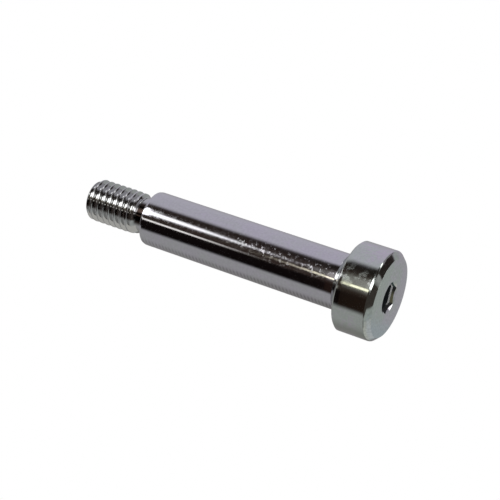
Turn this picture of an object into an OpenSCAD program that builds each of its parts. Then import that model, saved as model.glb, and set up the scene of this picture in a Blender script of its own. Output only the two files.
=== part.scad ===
// Hexagon socket head shoulder screw, bright plated steel, standing on its head.
// The screw's axis is Z: head face at z = 0, then the shoulder, the thread relief and the thread.

/* [Head] */
// Diameter of the head
head_d = 16; // [14:0.5:20]
// Height of the head
head_h = 7; // [6.5:0.5:10]
// Width and depth of the 45 degree bevel round the head face
head_bevel = 0.95; // [0.3:0.05:1.5]
// Edge break round the underside of the head
rim_break = 0.35; // [0.1:0.05:0.5]

/* [Socket] */
// Width of the hexagon socket across its flats
hex_af = 5; // [4.5:0.1:5.2]
// Depth of the socket's flat walls
hex_depth = 4.4; // [3:0.2:5]
// Turn of the hexagon about the axis, in degrees
hex_turn = 45; // [0:5:55]
// Diameter of the countersink round the socket's mouth
mouth_d = 5.9; // [5.8:0.1:6.6]
// Depth at which the countersink meets the middle of the flats
mouth_depth = 0.25; // [0.2:0.05:0.6]
// Slope of the socket's conical floor, in degrees
floor_angle = 30; // [10:5:35]

/* [Shoulder] */
// Diameter of the ground shoulder
shoulder_d = 10; // [9.6:0.1:10.4]
// Length of the shoulder, from the underside of the head to its end face
shoulder_len = 40; // [16:2:120]
// Diameter of the relief under the head
relief_d = 9.42; // [9.2:0.02:9.5]
// Width of the relief under the head, with its ramp
relief_w = 1.5; // [1.4:0.1:2.5]
// Fillet between the head and the relief
relief_fillet = 0.6; // [0.3:0.1:0.8]
// Reach of the bevel at the shoulder's end, along the axis
shoulder_bevel_len = 0.4; // [0.2:0.1:1]
// Reach of the bevel at the shoulder's end, towards the axis
shoulder_bevel_in = 0.1; // [0.05:0.05:0.5]

/* [Thread] */
// Diameter over the thread's crests
crest_d = 7.8; // [7.76:0.02:7.96]
// Diameter over the crests of the run-out, where the thread begins
lead_d = 7.5; // [7.2:0.05:7.7]
// Length over which the crests of the run-out grow to their full diameter
lead_len = 3; // [1:0.5:6]
// Pitch of the thread
pitch = 1.25; // [1:0.05:1.25]
// Turns of thread from the relief to the tip
thread_turns = 8.5; // [6:0.5:12]
// Turn of the thread about the axis, in degrees
thread_phase = 242; // [0:1:359]
// Diameter of the relief between the shoulder and the thread
neck_d = 6.2; // [5.8:0.05:6.25]
// Width of that relief, up to the foot of its ramp
neck_w = 2.1; // [1.2:0.05:2.4]
// Fillet between the shoulder's end face and the relief
neck_fillet = 0.6; // [0.3:0.1:0.8]
// Depth of the bevel at the tip
tip_bevel = 0.6; // [0.4:0.1:1]
// Angle of the tip bevel against the axis
tip_angle = 45; // [30:5:60]

/* [Hidden] */

STEEL = [0.72, 0.72, 0.73];
FLANK_ANGLE = 30;        // half of the thread's 60 degree profile
TURN_STEPS = 40;         // flats in one turn of the thread
FLANK_SHARE = 13 / 40;   // share of the pitch that each flank takes
CREST_SHARE = 7 / 40;    // share of the pitch that the crest takes
ARC_STEPS = 6;           // flats in a fillet
OVERLAP = 0.5;           // how far one cut or joined solid reaches into the next

head_r = head_d / 2;
shoulder_r = shoulder_d / 2;
relief_r = relief_d / 2;
neck_r = neck_d / 2;
crest_r = crest_d / 2;
root_r = crest_r - pitch * FLANK_SHARE / tan(FLANK_ANGLE);
foot_r = (neck_r + root_r) / 2;
lead_r = lead_d / 2;
tip_r = crest_r - tip_bevel;
hex_r = hex_af / 2 / cos(30);
drill_r = hex_af / 2 - 0.1;
mouth_r = mouth_d / 2;
shoulder_end = head_h + shoulder_len;
thread_start = shoulder_end + neck_w;
tip_z = thread_start + thread_turns * pitch;

// Points on an arc from angle a0 to angle a1, as [radius, z]
function arc(r, z, size, a0, a1) =
    [for (i = [0:ARC_STEPS]) let (a = a0 + (a1 - a0) * i / ARC_STEPS) [r + size * cos(a), z + size * sin(a)]];

// Half section of everything but the thread, from the head face up to the core of the thread
function body_outline() = concat(
    [
        [0, 0],
        [head_r - head_bevel, 0],
        [head_r, head_bevel],
        [head_r, head_h - rim_break],
        [head_r - rim_break, head_h],
    ],
    arc(relief_r + relief_fillet, head_h + relief_fillet, relief_fillet, -90, -180),
    [
        [relief_r, head_h + relief_w - (shoulder_r - relief_r)],
        [shoulder_r, head_h + relief_w],
        [shoulder_r, shoulder_end - shoulder_bevel_len],
        [shoulder_r - shoulder_bevel_in, shoulder_end],
    ],
    arc(neck_r + neck_fillet, shoulder_end + neck_fillet, neck_fillet, -90, -180),
    [
        [neck_r, thread_start + OVERLAP],
        [0, thread_start + OVERLAP],
    ]
);

module body() {
    rotate_extrude($fn = 96)
        polygon(body_outline());
}

// Hexagon walls, drilled floor and countersunk mouth
module socket() {
    rotate([0, 0, hex_turn])
        translate([0, 0, -OVERLAP])
            cylinder(h = hex_depth + OVERLAP, r = hex_r, $fn = 6);
    rotate_extrude($fn = 96)
        polygon([
            [0, -OVERLAP],
            [drill_r, -OVERLAP],
            [drill_r, hex_depth],
            [0, hex_depth + drill_r * tan(floor_angle)],
        ]);
    slope = (mouth_r - hex_af / 2) / mouth_depth;
    rotate_extrude($fn = 96)
        polygon([
            [0, -OVERLAP],
            [mouth_r + slope * OVERLAP, -OVERLAP],
            [drill_r, (mouth_r - drill_r) / slope],
            [0, (mouth_r - drill_r) / slope],
        ]);
}

// Radius of the blank that the thread is cut on: a ramp out of the relief, the run-out and the tip's bevel
function blank_r(z) = max(
    foot_r / 2,
    min(
        foot_r + z - thread_start,
        lead_r + (crest_r - lead_r) * (z - thread_start) / lead_len,
        tip_r + (tip_z - z) * tan(tip_angle)
    )
);

// One pitch of the thread's profile, as [radius, z]: up one flank, along the crest and down the other
function thread_profile() = [
    [root_r, 0],
    [crest_r, pitch * FLANK_SHARE],
    [crest_r, pitch * (FLANK_SHARE + CREST_SHARE)],
    [root_r, pitch * (2 * FLANK_SHARE + CREST_SHARE)],
];

// A right-hand threaded rod from height z0, held inside the blank, with a step one pitch high at each end
module threaded_rod(z0, turns) {
    profile = thread_profile();
    n = len(profile);
    last = TURN_STEPS * turns;
    floor_centre = (last + 1) * n;
    roof_centre = floor_centre + 1;
    function at(i, j) = i * n + j;
    function quad(a, b, c, d) = [[a, b, c], [a, c, d]];
    points = concat(
        [
            for (i = [0:last])
                for (p = profile)
                    let (
                        a = 360 * i / TURN_STEPS,
                        z = z0 + p[1] + pitch * i / TURN_STEPS,
                        r = min(p[0], blank_r(z))
                    )
                    [r * cos(a), r * sin(a), z]
        ],
        [[0, 0, z0], [0, 0, z0 + pitch * turns]]
    );
    ridge = [
        for (i = [0:last - 1])
            for (j = [0:n - 2])
                each quad(at(i, j), at(i, j + 1), at(i + 1, j + 1), at(i + 1, j))
    ];
    root = [
        for (i = [0:last - TURN_STEPS - 1])
            let (k = i + TURN_STEPS)
            each quad(at(i, n - 1), at(k, 0), at(k + 1, 0), at(i + 1, n - 1))
    ];
    floor_fan = [for (i = [0:TURN_STEPS - 1]) [floor_centre, at(i, 0), at(i + 1, 0)]];
    roof_fan = [for (i = [last - TURN_STEPS:last - 1]) [roof_centre, at(i + 1, n - 1), at(i, n - 1)]];
    floor_step = concat([floor_centre, at(TURN_STEPS, 0)], [for (j = [n - 1:-1:0]) at(0, j)]);
    roof_step = concat([roof_centre, at(last - TURN_STEPS, n - 1)], [for (j = [0:n - 1]) at(last, j)]);
    polyhedron(points, concat(ridge, root, floor_fan, roof_fan, [floor_step, roof_step]));
}

// The thread, cut off square at both ends and set to its full length
module thread() {
    step = pitch / TURN_STEPS;
    resize([0, 0, tip_z - thread_start])
        intersection() {
            rotate([0, 0, thread_phase])
                threaded_rod(thread_start - 2 * pitch - step / 2, thread_turns + 4);
            translate([-shoulder_r, -shoulder_r, thread_start])
                cube([shoulder_d, shoulder_d, tip_z - thread_start]);
        }
}

module shoulder_screw() {
    color(STEEL)
        union() {
            difference() {
                body();
                socket();
            }
            thread();
        }
}

shoulder_screw();
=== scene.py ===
"""A bright plated socket head shoulder screw that stands on its head, for Blender 4.5."""
import math

import bmesh
import bpy
from mathutils import Matrix, Vector


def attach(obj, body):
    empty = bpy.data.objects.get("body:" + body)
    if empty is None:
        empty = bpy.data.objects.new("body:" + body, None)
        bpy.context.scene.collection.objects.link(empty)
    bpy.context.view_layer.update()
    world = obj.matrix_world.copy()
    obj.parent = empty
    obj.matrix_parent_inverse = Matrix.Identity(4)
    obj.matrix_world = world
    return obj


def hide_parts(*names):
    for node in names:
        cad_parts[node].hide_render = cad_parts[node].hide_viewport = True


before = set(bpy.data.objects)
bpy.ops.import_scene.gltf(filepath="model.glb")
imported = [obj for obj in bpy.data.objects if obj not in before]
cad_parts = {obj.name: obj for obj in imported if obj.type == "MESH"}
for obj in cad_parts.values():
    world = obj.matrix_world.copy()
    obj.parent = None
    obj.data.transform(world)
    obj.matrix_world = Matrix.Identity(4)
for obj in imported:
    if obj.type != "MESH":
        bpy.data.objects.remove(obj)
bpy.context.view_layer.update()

# Sizes of the screw, in millimetres and degrees
MM = 0.001
HEAD_R = 8.0
HEAD_H = 7.0
HEAD_BEVEL = 0.95
RIM_BREAK = 0.35
HEX_AF = 5.0
HEX_DEPTH = 4.4
HEX_TURN = 45.0
DRILL_R = 2.4
FLOOR_ANGLE = 30.0
MOUTH_R = 2.95
MOUTH_DEPTH = 0.25
SHOULDER_R = 5.0
SHOULDER_LEN = 40.0
RELIEF_R = 4.71
RELIEF_W = 1.5
RELIEF_FILLET = 0.6
SHOULDER_BEVEL_LEN = 0.4
SHOULDER_BEVEL_IN = 0.1
NECK_R = 3.1
NECK_W = 2.1
NECK_FILLET = 0.6
CREST_R = 3.9
LEAD_R = 3.75
LEAD_LEN = 3.0
PITCH = 1.25
TURNS = 8.5
THREAD_PHASE = 242.0
FLANK_SHARE = 13 / 40
CREST_SHARE = 7 / 40
FLANK_ANGLE = 30.0
TIP_BEVEL = 0.6
CAD_TURN_STEPS = 40
TURNS_BELOW = 2  # whole turns of the helix below the thread, which its start cuts off
SPARE_TURNS = 5  # turns of the helix beyond those of the thread, which its two ends cut off

# Rounding of the edges and of the thread, in millimetres
BEVEL_ROUND = 0.6
EDGE_ROUND = 0.1
FINE_ROUND = 0.05
MOUTH_ROUND = 0.02
CREST_ROUND = 0.17
ROOT_ROUND = 0.17

# Fineness of the mesh
COLUMNS = 240
ARC_STEPS = 4
FILLET_STEPS = 8
THREAD_ARC_STEPS = 5
SHARP_ANGLE = 32.0
WELD = 0.001
ANGLES = [math.tau * k / COLUMNS for k in range(COLUMNS)]

# Sizes that follow from the others
ROOT_R = CREST_R - PITCH * FLANK_SHARE / math.tan(math.radians(FLANK_ANGLE))
FOOT_R = (NECK_R + ROOT_R) / 2
TIP_R = CREST_R - TIP_BEVEL
SHOULDER_END = HEAD_H + SHOULDER_LEN
THREAD_START = SHOULDER_END + NECK_W
TIP_Z = THREAD_START + TURNS * PITCH
ROOT_FLAT = PITCH * (1 - 2 * FLANK_SHARE - CREST_SHARE)
THREAD_TOP = TIP_Z - 2 * EDGE_ROUND
HALF_STEP = PITCH / CAD_TURN_STEPS / 2
THREAD_BASE = THREAD_START - PITCH * (TURNS_BELOW + THREAD_PHASE / 360) - HALF_STEP - ROOT_FLAT / 2

# Marks on the plating: sizes and heights in millimetres, turns about the axis in degrees
# A pair says where a mark is nil and where it is full, and RISE and FALL are stretches in rising order
# SHARE and ROUGHNESS pairs are the strengths at the two ends of such a pair
# Noise is (scale per millimetre, detail, roughness), and LEVELS are levels of the noise

# Tints of the passivated zinc
HEAD_GREEN = (0.565, 0.61, 0.565, 1)
HEAD_LILAC = (0.64, 0.585, 0.66, 1)
FACE_BLUE = (0.565, 0.625, 0.665, 1)
SHOULDER_GREY = (0.60, 0.605, 0.61, 1)
SHOULDER_LILAC = (0.615, 0.595, 0.64, 1)
THREAD_GREY = (0.58, 0.585, 0.575, 1)
DULL_GREY = (0.1, 0.1, 0.1, 1)
GRAIN_NOISE = (1.6, 2.0, 0.5)
GRAIN_SHARE = 0.6
PATCH_NOISE = (0.22, 2.0, 0.5)
HEAD_DRIFT = 0.03
HEAD_LEVELS = (0.62, 1.02)
BLUE_FRAY = 4.0
BLUE_EDGE = (-1.0, -4.0)
SHOULDER_LEVELS = (0.6, 1.0)
FACE_TO_SIDE = (0.3, 0.9)
HEAD_TO_SHOULDER = (HEAD_H - 0.1, HEAD_H + 0.2)
SHOULDER_TO_THREAD = (SHOULDER_END, SHOULDER_END + 0.5)

# Mottling, on the face and beyond it
MOTTLE_NOISE = (2.3, 3.0, 0.6)
MOTTLE_LEVELS = (0.35, 0.65)
MOTTLE_FADE = (0.9, 1.2)
MOTTLE_SHARE = (0.2, 0.08)

# Painted shade, dark brown, in the relief before the thread
NECK_SHADE_BROWN = (0.035, 0.024, 0.02, 1)
NECK_SHADE_RISE = (SHOULDER_END + 0.05, SHOULDER_END + 0.3)
NECK_SHADE_FALL = (THREAD_START - 0.1, THREAD_START + 0.4)
NECK_SHADE_RADII = (4.0, 3.6)
NECK_SHADE_TURN = -90.0
NECK_SHADE_SPREAD = (50.0, 32.0)
NECK_SHADE_ROUGHNESS = 0.12

# Walls of the socket: painted reflections near the mouth and painted shade further in
WALL_RADII = (MOUTH_R - 0.01, MOUTH_R - 0.05)
WALL_END = (5.9, 5.8)
WALL_SLOPE = (0.75, 0.65)
REFLECTION_GREEN = (0.10, 0.16, 0.15, 1)
REFLECTION_BLACK = (0.03, 0.03, 0.03, 1)
REFLECTION_YELLOW = (0.26, 0.25, 0.15, 1)
REFLECTION_GREY = (0.04, 0.04, 0.045, 1)
SOCKET_SHADE_BLUE = (0.008, 0.014, 0.022, 1)
GREEN_TO_BLACK = (40.0, 48.0)
BLACK_TO_YELLOW = (52.0, 80.0)
YELLOW_TO_GREY = (100.0, 108.0)
REFLECTION_TO_SHADE = (0.95, 1.05)
MARK_WHITE = (1.0, 1.0, 1.0, 1)
MARK_HEIGHT = 0.9
MARK_SPREAD = (0.2, 0.1)
MARK_RISE = (12.0, 40.0)
MARK_FALL = (104.0, 124.0)

# Ripple of the grinding wheel on the shoulder
RIPPLE_WAVE = {"Scale": 0.45, "Distortion": 1.5, "Detail": 2.0, "Detail Scale": 0.5}
RIPPLE_RISE = (HEAD_H + 1.0, HEAD_H + 2.0)
RIPPLE_FALL = (SHOULDER_END - 0.5, SHOULDER_END)
RIPPLE_TURNS = (-140.0, -152.0)
RIPPLE_SHARE = (0.03, 1.0)
RIPPLE_SHADE = 0.4
RIPPLE_DEPTH = 0.008

# Pits along one side of the shoulder
PIT_NOISE = (2.2, 3.0, 0.6)
PIT_DEPTH = 0.0105
PIT_TURN = -79.0
PIT_SPREAD = (11.0, 5.5)
PIT_RISE = (9.0, 10.5)
PIT_FALL = (20.0, 37.0)
PIT_FIELD_NOISE = (0.7, 3.0, 0.6)
PIT_FIELD_LEVELS = (0.3, 0.6)
PIT_FIELD_SHARE = (0.3, 1.0)

# Gloss: specks round the pits, and clouds on the side of the head in line with them
GLOSS_NOISE = (1.2, 3.0, 0.5)
GLOSS_LEVELS = (0.3, 0.7)
GLOSS_ROUGHNESS = (0.06, 0.11)
SPECK_NOISE = (1.5, 4.0, 0.65)
SPECK_LEVELS = (0.5, 0.68)
SPECK_SPREAD = (33.0, 11.0)
SPECK_RISE = (8.6, 9.0)
SPECK_FALL = (24.0, 40.0)
SPECK_ROUGHNESS = 0.3
CLOUD_NOISE = (0.65, 2.0, 0.5)
CLOUD_LEVELS = (0.42, 0.6)
CLOUD_SPREAD = (40.0, 5.5)
CLOUD_END = (6.5, 6.0)
CLOUD_ROUGHNESS = 0.2

# Studio, in millimetres and degrees, with the lamp's power in watts
TENT_R = 2000.0
LAYER_GAP = 50.0
CARD_STEPS = 24
HORIZON = -2
TABLE_DARK = (0.03, 0.024, 0.022)
FLOOR_R = 1800.0
FLOOR_HOLE_R = 7.0
FLOOR_GAP = 0.05
FLOOR_PALE = (0.82, 0.82, 0.82, 1)
ROOM_LIGHT = 0.55
LAMP_SIZE = 250.0
LAMP_POWER = 2.2
LAMP_PLACE = (220.0, -180.0, 420.0)

# Camera: a 100 mm lens, below the level of the head face
LENS = 100.0
SENSOR = 36.0
CAMERA_ELEVATION = -24.0022
CAMERA_DISTANCE = 243.3229
CAMERA_ROLL = -71.2935
CAMERA_TARGET = (0.1339, 0.0, 27.012)
CLIP_NEAR = 10.0
CLIP_FAR = 10000.0


# Outlines

def arc_points(before, corner, after, radius, steps):
    """Points on the arc that rounds a corner of an outline."""
    corner, before, after = Vector(corner), Vector(before), Vector(after)
    towards = (before - corner).normalized()
    onwards = (after - corner).normalized()
    half = towards.angle(onwards) / 2
    centre = corner + (towards + onwards).normalized() * radius / math.sin(half)
    start = corner + towards * radius / math.tan(half) - centre
    end = corner + onwards * radius / math.tan(half) - centre
    sweep = start.angle_signed(end)
    return [centre + Matrix.Rotation(-sweep * i / steps, 2) @ start for i in range(steps + 1)]


def outline(corners):
    """Points of an outline. A corner is (r, z, rounding, arc steps, spans up to the next corner)."""
    points = []
    count = 1
    for i, (r, z, rounding, steps, spans) in enumerate(corners):
        here = Vector((r, z))
        if rounding:
            run = arc_points(corners[i - 1][:2], here, corners[i + 1][:2], rounding, steps)
        else:
            run = [here]
        if points:
            last = points[-1]
            points += [last.lerp(run[0], s / count) for s in range(1, count)]
        points += run
        count = spans
    return points


def hexagon_r(angle):
    """Distance from the axis to the socket's wall."""
    sixth = math.pi / 3
    return HEX_AF / 2 / math.cos((angle - math.radians(HEX_TURN)) % sixth - sixth / 2)


def body_column(angle):
    """Outline of the screw at one angle, from the socket's floor to the foot of the thread."""
    wall = hexagon_r(angle)
    slope = (MOUTH_R - HEX_AF / 2) / MOUTH_DEPTH
    relief_end = HEAD_H + RELIEF_W
    ramp_z = THREAD_START - (FOOT_R - NECK_R)
    return outline([
        (0, HEX_DEPTH + DRILL_R * math.tan(math.radians(FLOOR_ANGLE)), 0, 0, 4),
        (DRILL_R, HEX_DEPTH, 0, 0, 1),
        (wall, HEX_DEPTH, 0, 0, 5),
        (wall, (MOUTH_R - wall) / slope, 0, 0, 1),
        (MOUTH_R, 0, MOUTH_ROUND, ARC_STEPS, 5),
        (HEAD_R - HEAD_BEVEL, 0, EDGE_ROUND, ARC_STEPS, 2),
        (HEAD_R, HEAD_BEVEL, BEVEL_ROUND, FILLET_STEPS, 6),
        (HEAD_R, HEAD_H - RIM_BREAK, FINE_ROUND, ARC_STEPS, 1),
        (HEAD_R - RIM_BREAK, HEAD_H, FINE_ROUND, ARC_STEPS, 3),
        (RELIEF_R, HEAD_H, RELIEF_FILLET, FILLET_STEPS, 2),
        (RELIEF_R, relief_end - (SHOULDER_R - RELIEF_R), EDGE_ROUND, ARC_STEPS, 1),
        (SHOULDER_R, relief_end, EDGE_ROUND, ARC_STEPS, 24),
        (SHOULDER_R, SHOULDER_END - SHOULDER_BEVEL_LEN, EDGE_ROUND, ARC_STEPS, 2),
        (SHOULDER_R - SHOULDER_BEVEL_IN, SHOULDER_END, FINE_ROUND, ARC_STEPS, 2),
        (NECK_R, SHOULDER_END, NECK_FILLET, FILLET_STEPS, 2),
        (NECK_R, ramp_z, 0, 0, 1),
        (FOOT_R, THREAD_START, 0, 0, 1),
    ])


def tip_column(angle):
    """Outline of the tip at one angle, from the end of the thread over the edge to the axis."""
    points = outline([
        (TIP_R + TIP_Z - THREAD_TOP, THREAD_TOP, 0, 0, 1),
        (TIP_R, TIP_Z, EDGE_ROUND, ARC_STEPS, 4),
        (0, TIP_Z, 0, 0, 1),
    ])
    return [Vector((min(p.x, thread_r(p.y, angle)), p.y)) for p in points]


def thread_profile():
    """One pitch of the thread as (share of the pitch, r), from the middle of one root to the next."""
    crest_start = ROOT_FLAT / 2 + PITCH * FLANK_SHARE
    points = outline([
        (ROOT_R, 0, 0, 0, 1),
        (ROOT_R, ROOT_FLAT / 2, ROOT_ROUND, THREAD_ARC_STEPS, 2),
        (CREST_R, crest_start, CREST_ROUND, THREAD_ARC_STEPS, 2),
        (CREST_R, PITCH - crest_start, CREST_ROUND, THREAD_ARC_STEPS, 2),
        (ROOT_R, PITCH - ROOT_FLAT / 2, ROOT_ROUND, THREAD_ARC_STEPS, 1),
        (ROOT_R, PITCH, 0, 0, 1),
    ])
    return [(p.y / PITCH, p.x) for p in points[:-1]]


def thread_r(z, angle):
    """Radius of the full thread at one height and angle."""
    place = ((z - THREAD_BASE) / PITCH - angle / math.tau) % 1
    profile = thread_profile() + [(1.0, ROOT_R)]
    for (low, low_r), (high, high_r) in zip(profile, profile[1:]):
        if place <= high:
            return low_r + (high_r - low_r) * (place - low) / (high - low)


def blank_r(z):
    """Radius of the blank that the thread is cut on: a ramp, the run-out and the tip's bevel."""
    lead = LEAD_R + (CREST_R - LEAD_R) * (z - THREAD_START) / LEAD_LEN
    return min(FOOT_R + z - THREAD_START, lead, TIP_R + TIP_Z - z)


# Meshes

def at_angle(r, z, angle):
    """A point about the axis, from millimetres."""
    return Vector((r * math.cos(angle), r * math.sin(angle), z)) * MM


def add_object(name, mesh, material):
    """Makes an object of a mesh."""
    data = bpy.data.meshes.new(name)
    mesh.to_mesh(data)
    mesh.free()
    data.materials.append(material)
    obj = bpy.data.objects.new(name, data)
    bpy.context.collection.objects.link(obj)
    return obj


def add_rings(mesh, columns, closed_start=False, closed_end=False):
    """Skins a grid of outlines, one for each column. A closed end is one point on the axis."""
    count = len(columns[0])
    rings = []
    for row in range(count):
        if row == 0 and closed_start or row == count - 1 and closed_end:
            rings.append([mesh.verts.new(at_angle(0, columns[0][row].y, 0))])
        else:
            rings.append([
                mesh.verts.new(at_angle(column[row].x, column[row].y, angle))
                for column, angle in zip(columns, ANGLES)
            ])
    for low, high in zip(rings, rings[1:]):
        for k in range(COLUMNS):
            after = (k + 1) % COLUMNS
            if len(low) == 1:
                mesh.faces.new((low[0], high[after], high[k]))
            elif len(high) == 1:
                mesh.faces.new((low[k], low[after], high[0]))
            else:
                mesh.faces.new((low[k], low[after], high[after], high[k]))


def add_thread(mesh):
    """A right-hand thread between two circles, with a ramp out of the relief and a bevelled tip."""
    profile = thread_profile()
    rows = []
    for turn in range(math.ceil(TURNS) + SPARE_TURNS):
        for share, r in profile:
            rows.append((THREAD_BASE + PITCH * (turn + share), r))
    grid = []
    for angle in ANGLES:
        top_r = thread_r(THREAD_TOP, angle)
        column = []
        for z, r in rows:
            z = max(z + PITCH * angle / math.tau, THREAD_START)
            if z > THREAD_TOP:
                z, r = THREAD_TOP, top_r
            column.append(mesh.verts.new(at_angle(min(r, blank_r(z)), z, angle)))
        grid.append(column)
    first = grid[0]
    grid.append(first[len(profile):] + [first[-1]] * len(profile))
    for here, after in zip(grid, grid[1:]):
        for row in range(len(rows) - 1):
            corners = (here[row], after[row], after[row + 1], here[row + 1])
            if len(set(corners)) == len(corners):
                mesh.faces.new(corners)


def build_screw(material):
    """The whole screw as one closed skin."""
    mesh = bmesh.new()
    add_rings(mesh, [body_column(angle) for angle in ANGLES], closed_start=True)
    add_thread(mesh)
    add_rings(mesh, [tip_column(angle) for angle in ANGLES], closed_end=True)
    bmesh.ops.remove_doubles(mesh, verts=mesh.verts, dist=WELD * MM)
    bmesh.ops.recalc_face_normals(mesh, faces=mesh.faces)
    piece = add_object("shoulder_screw_skin", mesh, material)
    piece.data.shade_smooth()
    piece.data.set_sharp_from_angle(angle=math.radians(SHARP_ANGLE))
    shading = piece.modifiers.new("flat_faces_shade_flat", "WEIGHTED_NORMAL")
    shading.keep_sharp = True
    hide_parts("shoulder_screw")
    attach(piece, "root")


# Materials

class Nodes:
    """Short hand for building a node tree."""

    def __init__(self, tree):
        self.tree = tree
        tree.nodes.clear()

    def add(self, kind, inputs=None, **settings):
        node = self.tree.nodes.new(kind)
        for name, value in settings.items():
            setattr(node, name, value)
        for name, value in (inputs or {}).items():
            if isinstance(value, bpy.types.NodeSocket):
                self.tree.links.new(value, node.inputs[name])
            else:
                node.inputs[name].default_value = value
        return node

    def maths(self, operation, value, *others):
        """A function of one value, or an operation that takes several in turn."""
        if not others:
            return self.add("ShaderNodeMath", {0: value}, operation=operation).outputs[0]
        for other in others:
            value = self.add("ShaderNodeMath", {0: value, 1: other}, operation=operation).outputs[0]
        return value

    def span(self, value, low, high, out_low=0.0, out_high=1.0):
        """A smooth step between two values."""
        inputs = {"Value": value, "From Min": low, "From Max": high, "To Min": out_low, "To Max": out_high}
        return self.add("ShaderNodeMapRange", inputs, interpolation_type="SMOOTHSTEP").outputs[0]

    def window(self, value, rise, fall):
        """A smooth step up over one stretch and down again over a later one."""
        return self.maths("MULTIPLY", self.span(value, *rise), self.span(value, fall[1], fall[0]))

    def mix(self, factor, a, b):
        return self.add("ShaderNodeMix", {0: factor, 6: a, 7: b}, data_type="RGBA").outputs[2]

    def blend(self, factor, a, b):
        """One shader where the factor is 0 and another where it is 1, as the surface."""
        shown = self.add("ShaderNodeMixShader", {0: factor, 1: a.outputs[0], 2: b.outputs[0]})
        self.add("ShaderNodeOutputMaterial", {"Surface": shown.outputs[0]})


class Plating(Nodes):
    """Nodes that know a point's place on the screw, in millimetres and degrees."""

    def __init__(self, tree):
        super().__init__(tree)
        coordinates = self.add("ShaderNodeTexCoord").outputs
        scaled = {0: coordinates["Object"], 1: (1 / MM, 1 / MM, 1 / MM)}
        self.mm = self.add("ShaderNodeVectorMath", scaled, operation="MULTIPLY").outputs[0]
        flat = {0: self.mm, 1: (1.0, 1.0, 0.0)}
        across = self.add("ShaderNodeVectorMath", flat, operation="MULTIPLY").outputs[0]
        axes = self.add("ShaderNodeSeparateXYZ", {0: self.mm}).outputs
        facing = self.add("ShaderNodeSeparateXYZ", {0: coordinates["Normal"]}).outputs
        self.x = axes["X"]
        self.y = axes["Y"]
        self.height = axes["Z"]
        self.radius = self.add("ShaderNodeVectorMath", {0: across}, operation="LENGTH").outputs["Value"]
        self.turn = self.maths("DEGREES", self.maths("ARCTAN2", self.y, self.x))
        self.slope = self.maths("ABSOLUTE", facing["Z"])

    def noise(self, scale, detail, roughness):
        inputs = {"Vector": self.mm, "Scale": scale, "Detail": detail, "Roughness": roughness}
        return self.add("ShaderNodeTexNoise", inputs).outputs["Fac"]

    def spots(self, noise, levels, share=(0.0, 1.0)):
        """Noise as spots that come in between two of its levels."""
        return self.span(self.noise(*noise), *levels, *share)

    def away(self, value, middle):
        """Distance of a value from a middle one."""
        return self.maths("ABSOLUTE", self.maths("SUBTRACT", value, middle))

    def bump(self, height, depth, **under):
        """Relief of a depth in millimetres, over the normal that is given."""
        inputs = {"Strength": 1.0, "Distance": depth * MM, "Height": height, **under}
        return self.add("ShaderNodeBump", inputs).outputs[0]


def tints(n):
    """Green and lilac patches on the head, blue on one side of its face, lilac along the shoulder."""
    grain = n.noise(*GRAIN_NOISE)
    patches = n.maths("ADD", n.noise(*PATCH_NOISE), n.maths("MULTIPLY", grain, GRAIN_SHARE))
    drift = n.maths("ADD", n.maths("MULTIPLY", n.y, HEAD_DRIFT), patches)
    head = n.mix(n.span(drift, *HEAD_LEVELS), HEAD_GREEN, HEAD_LILAC)
    frayed = n.maths("ADD", n.x, n.maths("MULTIPLY", grain, BLUE_FRAY))
    face = n.mix(n.span(frayed, *BLUE_EDGE), head, FACE_BLUE)
    shoulder = n.mix(n.span(patches, *SHOULDER_LEVELS), SHOULDER_GREY, SHOULDER_LILAC)
    colour = n.mix(n.span(n.height, *FACE_TO_SIDE), face, head)
    colour = n.mix(n.span(n.height, *HEAD_TO_SHOULDER), colour, shoulder)
    return n.mix(n.span(n.height, *SHOULDER_TO_THREAD), colour, THREAD_GREY)


def mottling(n):
    """Fine spots, strongest on the face."""
    share = n.span(n.height, *MOTTLE_FADE, *MOTTLE_SHARE)
    return n.maths("MULTIPLY", n.spots(MOTTLE_NOISE, MOTTLE_LEVELS), share)


def neck_shade_mask(n):
    """One side of the relief between the shoulder and the thread, where the colour is painted shade."""
    along = n.window(n.height, NECK_SHADE_RISE, NECK_SHADE_FALL)
    front = n.span(n.away(n.turn, NECK_SHADE_TURN), *NECK_SHADE_SPREAD)
    return n.maths("MULTIPLY", along, n.span(n.radius, *NECK_SHADE_RADII), front)


def socket_mask(n):
    """The upright walls of the socket."""
    inside = n.maths("MULTIPLY", n.span(n.radius, *WALL_RADII), n.span(n.height, *WALL_END))
    return n.maths("MULTIPLY", inside, n.span(n.slope, *WALL_SLOPE))


def socket_colour(n):
    """Walls with painted reflections at the mouth, a white line at one depth, and painted shade,
    blue-black, further in.
    """
    reflection = n.mix(n.span(n.turn, *GREEN_TO_BLACK), REFLECTION_GREEN, REFLECTION_BLACK)
    reflection = n.mix(n.span(n.turn, *BLACK_TO_YELLOW), reflection, REFLECTION_YELLOW)
    reflection = n.mix(n.span(n.turn, *YELLOW_TO_GREY), reflection, REFLECTION_GREY)
    wall = n.mix(n.span(n.height, *REFLECTION_TO_SHADE), reflection, SOCKET_SHADE_BLUE)
    mark = n.span(n.away(n.height, MARK_HEIGHT), *MARK_SPREAD)
    mark = n.maths("MULTIPLY", mark, n.window(n.turn, MARK_RISE, MARK_FALL))
    return n.mix(mark, wall, MARK_WHITE)


def ripple_height(n):
    """Ripple left by the grinding wheel round the shoulder, deepest along one side."""
    inputs = {"Vector": n.mm, **RIPPLE_WAVE}
    wave = n.add("ShaderNodeTexWave", inputs, wave_type="BANDS", bands_direction="Z").outputs["Fac"]
    along = n.window(n.height, RIPPLE_RISE, RIPPLE_FALL)
    return n.maths("MULTIPLY", wave, along, n.span(n.turn, *RIPPLE_TURNS, *RIPPLE_SHARE))


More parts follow.
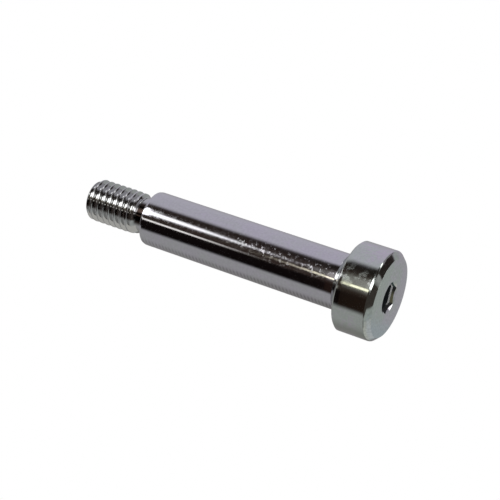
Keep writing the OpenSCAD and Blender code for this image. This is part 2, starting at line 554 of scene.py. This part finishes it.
def pit_height(n):
    """Fine pits in a patch along one side of the shoulder."""
    patch = n.span(n.away(n.turn, PIT_TURN), *PIT_SPREAD)
    along = n.window(n.height, PIT_RISE, PIT_FALL)
    field = n.spots(PIT_FIELD_NOISE, PIT_FIELD_LEVELS, PIT_FIELD_SHARE)
    return n.maths("MULTIPLY", n.noise(*PIT_NOISE), patch, along, field)


def roughness(n, neck_shade, inside):
    """Bright plating with dull specks round the pits and clouds on the head, and dull socket walls."""
    even = n.spots(GLOSS_NOISE, GLOSS_LEVELS, GLOSS_ROUGHNESS)
    aside = n.away(n.turn, PIT_TURN)
    worn = n.maths("MULTIPLY", n.span(aside, *SPECK_SPREAD), n.window(n.height, SPECK_RISE, SPECK_FALL))
    specks = n.maths("MULTIPLY", n.spots(SPECK_NOISE, SPECK_LEVELS), worn, SPECK_ROUGHNESS)
    cloudy = n.maths("MULTIPLY", n.span(aside, *CLOUD_SPREAD), n.span(n.height, *CLOUD_END))
    clouds = n.maths("MULTIPLY", n.spots(CLOUD_NOISE, CLOUD_LEVELS), cloudy, CLOUD_ROUGHNESS)
    return n.maths("MAXIMUM", even, specks, n.maths("MULTIPLY", neck_shade, NECK_SHADE_ROUGHNESS), clouds, inside)


def new_material(name):
    material = bpy.data.materials.new(name)
    material.use_nodes = True
    return material


def plated_steel():
    """Bright zinc plate over ground and turned steel, dull inside the socket where the plating is thin."""
    material = new_material("plated_steel")
    n = Plating(material.node_tree)
    neck_shade = neck_shade_mask(n)
    inside = socket_mask(n)
    ripple = ripple_height(n)
    colour = n.mix(mottling(n), tints(n), DULL_GREY)
    # Painted shade, dark brown, on one side of the relief before the thread
    colour = n.mix(neck_shade, colour, NECK_SHADE_BROWN)
    # Painted reflections on the socket's walls near the mouth, and painted shade deeper in
    colour = n.mix(inside, colour, socket_colour(n))
    colour = n.mix(n.maths("MULTIPLY", ripple, RIPPLE_SHADE), colour, DULL_GREY)
    shader = n.add("ShaderNodeBsdfPrincipled", {
        "Base Color": colour,
        "Metallic": n.maths("SUBTRACT", 1.0, inside),
        "Roughness": roughness(n, neck_shade, inside),
        "Normal": n.bump(pit_height(n), PIT_DEPTH, Normal=n.bump(ripple, RIPPLE_DEPTH)),
    })
    n.add("ShaderNodeOutputMaterial", {"Surface": shader.outputs[0]})
    return material


def card_material(name, colour, soft_u, soft_v):
    """Even light that fades out towards the card's edges."""
    material = new_material(name)
    n = Nodes(material.node_tree)
    uv = n.add("ShaderNodeSeparateXYZ", {0: n.add("ShaderNodeTexCoord").outputs["UV"]})
    mask = 1.0
    for axis, soft in ((uv.outputs[0], soft_u), (uv.outputs[1], soft_v)):
        for edge, inside in ((0.0, soft[0]), (1.0, 1.0 - soft[1])):
            if inside != edge:
                mask = n.maths("MULTIPLY", n.span(axis, edge, inside), mask)
    light = n.add("ShaderNodeEmission", {"Color": (*colour, 1), "Strength": 1.0})
    n.blend(mask, n.add("ShaderNodeBsdfTransparent"), light)
    return material


def floor_material():
    """Pale from above and clear from below."""
    material = new_material("floor")
    n = Nodes(material.node_tree)
    pale = n.add("ShaderNodeBsdfDiffuse", {"Color": FLOOR_PALE})
    back = n.add("ShaderNodeNewGeometry").outputs["Backfacing"]
    n.blend(back, pale, n.add("ShaderNodeBsdfTransparent"))
    return material


# Studio

def card(name, azimuth, elevation, colour, soft_sides=(0, 0), soft_ends=(0, 0), layer=0, lamp=False):
    """A curved card between two azimuths and two elevations, that only reflections see.

    The widths of its soft edges are in degrees too. A higher layer lies nearer and covers a lower one.
    """
    radius = TENT_R - LAYER_GAP * layer
    wide = azimuth[1] - azimuth[0]
    high = elevation[1] - elevation[0]
    mesh = bmesh.new()
    uv_layer = mesh.loops.layers.uv.new("UVMap")

    def vertex(i, j):
        a = math.radians(azimuth[0] + wide * i / CARD_STEPS)
        e = math.radians(elevation[0] + high * j / CARD_STEPS)
        return mesh.verts.new(at_angle(radius * math.cos(e), radius * math.sin(e), a))

    grid = [[vertex(i, j) for j in range(CARD_STEPS + 1)] for i in range(CARD_STEPS + 1)]
    for i in range(CARD_STEPS):
        for j in range(CARD_STEPS):
            places = ((i, j), (i + 1, j), (i + 1, j + 1), (i, j + 1))
            face = mesh.faces.new([grid[a][b] for a, b in places])
            for loop, (a, b) in zip(face.loops, places):
                loop[uv_layer].uv = (a / CARD_STEPS, b / CARD_STEPS)
    material = card_material(name, colour, [s / wide for s in soft_sides], [s / high for s in soft_ends])
    material.cycles.emission_sampling = "FRONT_BACK" if lamp else "NONE"
    obj = add_object(name, mesh, material)
    for ray in ("camera", "diffuse", "transmission", "volume_scatter", "shadow"):
        setattr(obj, "visible_" + ray, False)


def build_walls():
    """Grey walls of the tent, and the dark side where the camera stands."""
    card("tent", (-180, 180), (HORIZON, 90), (0.31, 0.30, 0.305))
    card("wall_right", (-45, 96), (HORIZON, 66), (0.58, 0.565, 0.645), (22, 64), (0, 14), layer=2)
    card("wall_left", (104, 217), (HORIZON, 66), (0.405, 0.405, 0.415), (60, 14), (0, 14), layer=2)
    card("wall_corner", (98, 180), (HORIZON, 36), (0.24, 0.235, 0.225), (22, 44), (0, 22), layer=3)
    card("dark_side", (-164, -56), (HORIZON, 66), (0.04, 0.027, 0.022), (10, 6), (0, 10), layer=1)
    card("dark_right", (-66, -30), (2, 40), (0.03, 0.021, 0.018), (4, 10), (4, 10), layer=1)
    card("dark_edge", (-54, -24), (2, 28), (0.02, 0.016, 0.014), (6, 16), (4, 11), layer=3)
    card("black_side", (-156, -104), (20.2, 64), (0.006, 0.004, 0.004), (6, 10), (0, 10), layer=2)
    card("brown_side", (-156, -104), (HORIZON, 20.2), (0.022, 0.0125, 0.0095), (6, 10), layer=2)


def build_strips():
    """Strip lights and a haze on the dark side, for the bright lines along the screw."""
    card("strip_core", (-80, -68), (22, 66), (2.0, 2.0, 2.03), (5, 5), (6.5, 6), layer=3, lamp=True)
    card("strip_wide", (-84.5, -63), (24.8, 68), (2.0, 2.0, 2.03), (8, 7), (5, 6), layer=4, lamp=True)
    card("strip_crest", (-90, -52), (30.1, 68), (4.0, 4.0, 4.06), (8, 10), (0.7, 6), layer=5, lamp=True)
    card("strip_wide_low", (-88, -56), (-62, 15), (3.6, 3.6, 3.66), (7, 8), (6, 4), layer=3, lamp=True)
    card("strip_thin", (-110, -101), (24.2, 62), (1.4, 1.37, 1.3), (3, 3), (4.2, 6), layer=3, lamp=True)
    card("strip_warm", (-94, -86.4), (12, 23.5), (2.4, 2.25, 1.75), (2.8, 2.8), (1, 4), layer=3, lamp=True)
    card("haze", (-106, -58), (6, 21.5), (0.42, 0.395, 0.385), (22, 18), (3, 3), layer=2)


def build_table():
    """The table below, with light and dark things on it."""
    card("table", (-180, 180), (-90, HORIZON), (0.06, 0.05, 0.046))
    card("table_light", (36, 206), (-86, HORIZON), (0.42, 0.44, 0.44), (8, 8), (3, 0), layer=1)
    card("table_bright", (108, 176), (-60, -4), (0.58, 0.57, 0.55), (10, 12), (12, 6), layer=3)
    card("table_left", (152, 204), (-26, HORIZON), (0.20, 0.195, 0.19), (10, 10), (8, 0), layer=2)
    card("table_grey", (-64, 40), (-52, HORIZON), (0.28, 0.275, 0.285), (8, 8), (8, 0), layer=1)
    card("table_patch", (-56, -12), (-78, -56), (0.42, 0.41, 0.42), (10, 8), (4, 4), layer=1)
    card("table_flank", (10, 60), (-64, -28), (0.36, 0.35, 0.38), (6, 6), (4, 4), layer=2)
    card("table_dark_low", (-20, 20), (-66, -40), TABLE_DARK, (5, 5), (4, 6), layer=3)
    card("table_dark_mid", (8, 40), (-51, -26), TABLE_DARK, (5, 5), (4, 5), layer=3)
    card("table_dark_high", (30, 44), (-46, -20), TABLE_DARK, (4, 8), (4, 8), layer=4)
    card("table_dark_gap", (-54, -25), (-56, 4), TABLE_DARK, (5, 5), (5, 4), layer=4)
    card("table_dark_deep", (-14, 40), (-75, -65), TABLE_DARK, (6, 6), (2, 3), layer=3)


def build_small_lamps():
    """Small lamps round the screw, for the glints."""
    card("low_lamp", (-26, -8), (-34, 2), (2.6, 2.6, 2.6), (6, 6), (6, 4), layer=2, lamp=True)
    card("high_lamp", (-56, -32), (34, 48), (2.2, 2.2, 2.2), (10, 10), (6, 4), layer=3, lamp=True)
    card("top_lamp", (-58, -16), (66, 84), (2.2, 2.2, 2.2), (8, 8), (4, 4), layer=3, lamp=True)
    card("glint", (46, 65), (-76, -46), (2.4, 2.4, 2.4), (4, 7), (7, 7), layer=3, lamp=True)
    card("nadir_lamp", (-25, 45), (-89, -75), (2.6, 2.6, 2.6), (6, 6), (1, 3), layer=3, lamp=True)


def build_floor():
    """A floor with a hole under the head."""
    mesh = bmesh.new()
    inner, outer = [
        [mesh.verts.new(at_angle(radius, -FLOOR_GAP, angle)) for angle in ANGLES]
        for radius in (FLOOR_HOLE_R, FLOOR_R)
    ]
    for k in range(COLUMNS):
        after = (k + 1) % COLUMNS
        mesh.faces.new((inner[k], outer[k], outer[after], inner[after]))
    obj = add_object("floor", mesh, floor_material())
    obj.visible_glossy = False


def build_world():
    """White where the camera, a mirror or glass sees it, and a plain level of light elsewhere."""
    world = bpy.data.worlds.new("studio")
    bpy.context.scene.world = world
    world.use_nodes = True
    n = Nodes(world.node_tree)
    path = n.add("ShaderNodeLightPath").outputs
    seen = n.maths("MAXIMUM", path["Is Camera Ray"], path["Is Glossy Ray"], path["Is Transmission Ray"])
    strength = n.span(seen, 0.0, 1.0, ROOM_LIGHT, 1.0)
    light = n.add("ShaderNodeBackground", {"Color": (1, 1, 1, 1), "Strength": strength})
    n.add("ShaderNodeOutputWorld", {"Surface": light.outputs[0]})


def build_lamp():
    data = bpy.data.lights.new("key", "AREA")
    data.shape = "DISK"
    data.size = LAMP_SIZE * MM
    data.energy = LAMP_POWER
    lamp = bpy.data.objects.new("key", data)
    lamp.location = Vector(LAMP_PLACE) * MM
    lamp.rotation_euler = (-lamp.location).to_track_quat("-Z", "Y").to_euler()
    lamp.visible_glossy = False
    bpy.context.collection.objects.link(lamp)


def build_camera():
    elevation = math.radians(CAMERA_ELEVATION)
    roll = math.radians(CAMERA_ROLL)
    back = Vector((0, -math.cos(elevation), math.sin(elevation)))
    level = Vector((1, 0, 0))
    upright = back.cross(level)
    right = math.cos(roll) * level + math.sin(roll) * upright
    up = math.cos(roll) * upright - math.sin(roll) * level
    data = bpy.data.cameras.new("camera")
    data.lens = LENS
    data.sensor_width = SENSOR
    data.clip_start = CLIP_NEAR * MM
    data.clip_end = CLIP_FAR * MM
    camera = bpy.data.objects.new("camera", data)
    turn = Matrix((right, up, back)).transposed().to_4x4()
    camera.matrix_world = Matrix.Translation((Vector(CAMERA_TARGET) + CAMERA_DISTANCE * back) * MM) @ turn
    bpy.context.collection.objects.link(camera)
    bpy.context.scene.camera = camera


build_screw(plated_steel())
build_floor()
build_walls()
build_strips()
build_table()
build_small_lamps()
build_world()
build_lamp()
build_camera()
bpy.context.scene.view_settings.view_transform = "Standard"
